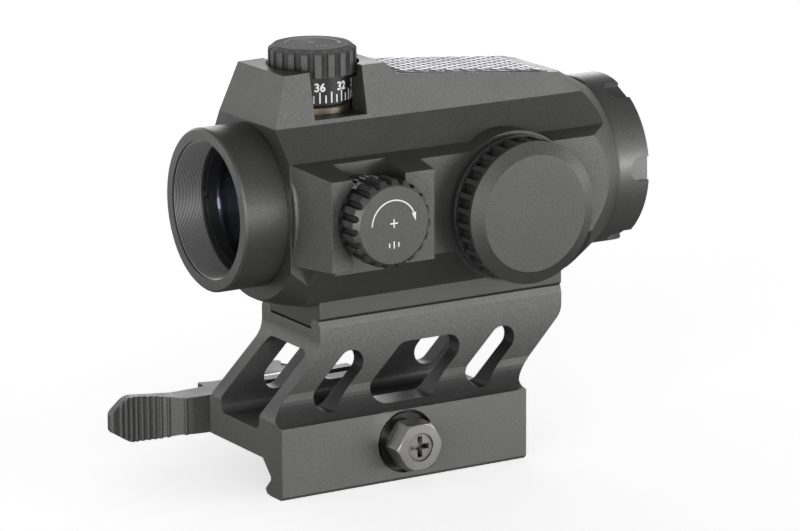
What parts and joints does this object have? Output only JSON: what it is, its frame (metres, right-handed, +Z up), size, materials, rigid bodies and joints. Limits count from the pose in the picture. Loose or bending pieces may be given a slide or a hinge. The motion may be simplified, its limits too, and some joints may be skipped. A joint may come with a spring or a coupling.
{
  "type": "tube red dot sight",
  "caption": "Compact tube red dot sight with two exposed adjustment turrets and a side brightness knob, on a forward-leaning riser with a quick-detach rail clamp.",
  "frame": {"origin": "on the rail seat plane, in the rail's centre plane, under the axis of the cross bolt", "axes": "+X forwards through the objective, parallel to the rail; -Y towards the windage and brightness knobs; +Z up, away from the rail"},
  "size_m": [0.0893, 0.0561, 0.0755],
  "materials": {
    "anodised_body": "matte hard anodised, fine bead-blasted grain",
    "riser_metal": "matte hard anodised, fine bead-blasted grain",
    "ring_metal": "matte hard anodised",
    "mesh_panel": "light satin, embossed with a fine diamond pattern",
    "knob_metal": "matte anodised",
    "dial_black": "satin black drum with white marks",
    "bushing_metal": "satin",
    "turned_steel": "fine turned",
    "spring_steel": "bright drawn wire",
    "black_metal": "low-gloss black, to stop reflections",
    "black_steel": "black oxide",
    "washer_steel": "dark steel",
    "nut_steel": "satin, lightly worn",
    "zinc_steel": "zinc plated",
    "lever_metal": "matte anodised, ribbed pad",
    "rubber_black": "matte",
    "window_glass": "coated glass",
    "coated_lens": "dichroic coated glass",
    "board_green": "solder mask",
    "strip_amber": "thin film",
    "led_red": "clear tinted resin",
    "cell_steel": "nickel plated",
    "insulator_card": "thin fibre ring",
    "contact_gold": "bright plated"
  },
  "bodies": {
    "riser": {"riser_mount": "riser_metal", "foot_screws": "black_steel", "housing": "anodised_body", "top_mesh_panel": "mesh_panel", "objective_ring": "ring_metal", "front_window": "window_glass", "front_window_retainer": "black_metal", "ocular_window": "window_glass", "ocular_retainer": "black_metal", "window_seals": "rubber_black", "elevation_bushing": "bushing_metal", "elevation_o_ring": "rubber_black", "windage_bushing": "bushing_metal", "windage_o_ring": "rubber_black", "bias_spring": "spring_steel", "led_flex_strip": "strip_amber", "circuit_board": "board_green", "detent_ball": "turned_steel", "detent_spring": "spring_steel", "cross_bolt": "zinc_steel", "flat_washer": "washer_steel", "lock_washer": "washer_steel", "lock_nut": "nut_steel", "jaw_guide_pins": "turned_steel", "jaw_springs": "spring_steel"},
    "elevation_turret": {"elevation_knob": "knob_metal", "elevation_dial": "dial_black", "elevation_spindle": "turned_steel"},
    "elevation_follower": {"elevation_plunger": "turned_steel"},
    "windage_turret": {"windage_knob": "knob_metal", "windage_dial": "dial_black", "windage_spindle": "turned_steel"},
    "windage_follower": {"windage_plunger": "turned_steel"},
    "tube_gimbal": {"pivot_ring": "turned_steel"},
    "sight_tube": {"inner_tube": "black_metal", "collimator_lens": "coated_lens", "lens_retainer": "black_metal", "led_holder": "black_metal", "led_emitter": "led_red"},
    "brightness_switch": {"switch_rotor": "knob_metal", "battery_cap": "knob_metal", "battery": "cell_steel", "battery_insulator": "insulator_card", "battery_contact": "contact_gold", "switch_wiper": "contact_gold", "rotor_o_ring": "rubber_black", "rotor_clip": "spring_steel"},
    "clamp_jaw": {"movable_jaw": "riser_metal", "cam_plate": "turned_steel"},
    "clamp_lever": {"cam_lever": "lever_metal", "lever_pin": "turned_steel"}
  },
  "joints": [
    {"name": "elevation_turn", "type": "hinge", "parent": "riser", "child": "elevation_turret", "pos_m": [-0.0095, 0, 0.064], "axis": [0, 0, 1], "range_deg": [-400, 400]},
    {"name": "elevation_push", "type": "slide", "parent": "riser", "child": "elevation_follower", "axis": [0, 0, 1], "range_m": [-0.0005, 0.0005]},
    {"name": "tube_pitch", "type": "hinge", "parent": "riser", "child": "tube_gimbal", "pos_m": [0.0335, 0, 0.04265], "axis": [0, 1, 0], "range_deg": [-0.75, 0.75], "stiffness_Nm_per_rad": 0.01, "springref_deg": 14.32},
    {"name": "windage_turn", "type": "hinge", "parent": "riser", "child": "windage_turret", "pos_m": [-0.0095, -0.022, 0.04265], "axis": [0, -1, 0], "range_deg": [-400, 400]},
    {"name": "windage_push", "type": "slide", "parent": "riser", "child": "windage_follower", "axis": [0, -1, 0], "range_m": [-0.0005, 0.0005]},
    {"name": "tube_yaw", "type": "hinge", "parent": "tube_gimbal", "child": "sight_tube", "pos_m": [0.0335, 0, 0.04265], "axis": [0, 0, 1], "range_deg": [-0.75, 0.75], "deforming": ["bias_spring"]},
    {"name": "brightness_turn", "type": "hinge", "parent": "riser", "child": "brightness_switch", "pos_m": [0.0203, -0.02, 0.0404], "axis": [0, -1, 0], "range_deg": [0, 330]},
    {"name": "lever_swing", "type": "hinge", "parent": "riser", "child": "clamp_lever", "pos_m": [0, 0.0264, 0.0008], "axis": [0, 0, -1], "range_deg": [0, 110]},
    {"name": "jaw_slide", "type": "slide", "parent": "riser", "child": "clamp_jaw", "axis": [0, 1, 0], "range_m": [0, 0.002], "deforming": ["jaw_springs"]}
  ],
  "couplings": [
    {"joint": "elevation_turn", "follows": "elevation_push", "rad_per_m": 12566},
    {"joint": "tube_pitch", "follows": "elevation_push", "rad_per_m": 23.256},
    {"joint": "windage_turn", "follows": "windage_push", "rad_per_m": 12566},
    {"joint": "tube_yaw", "follows": "windage_push", "rad_per_m": 23.256},
    {"joint": "jaw_slide", "follows": "lever_swing", "m_per_rad": 0.001}
  ]
}
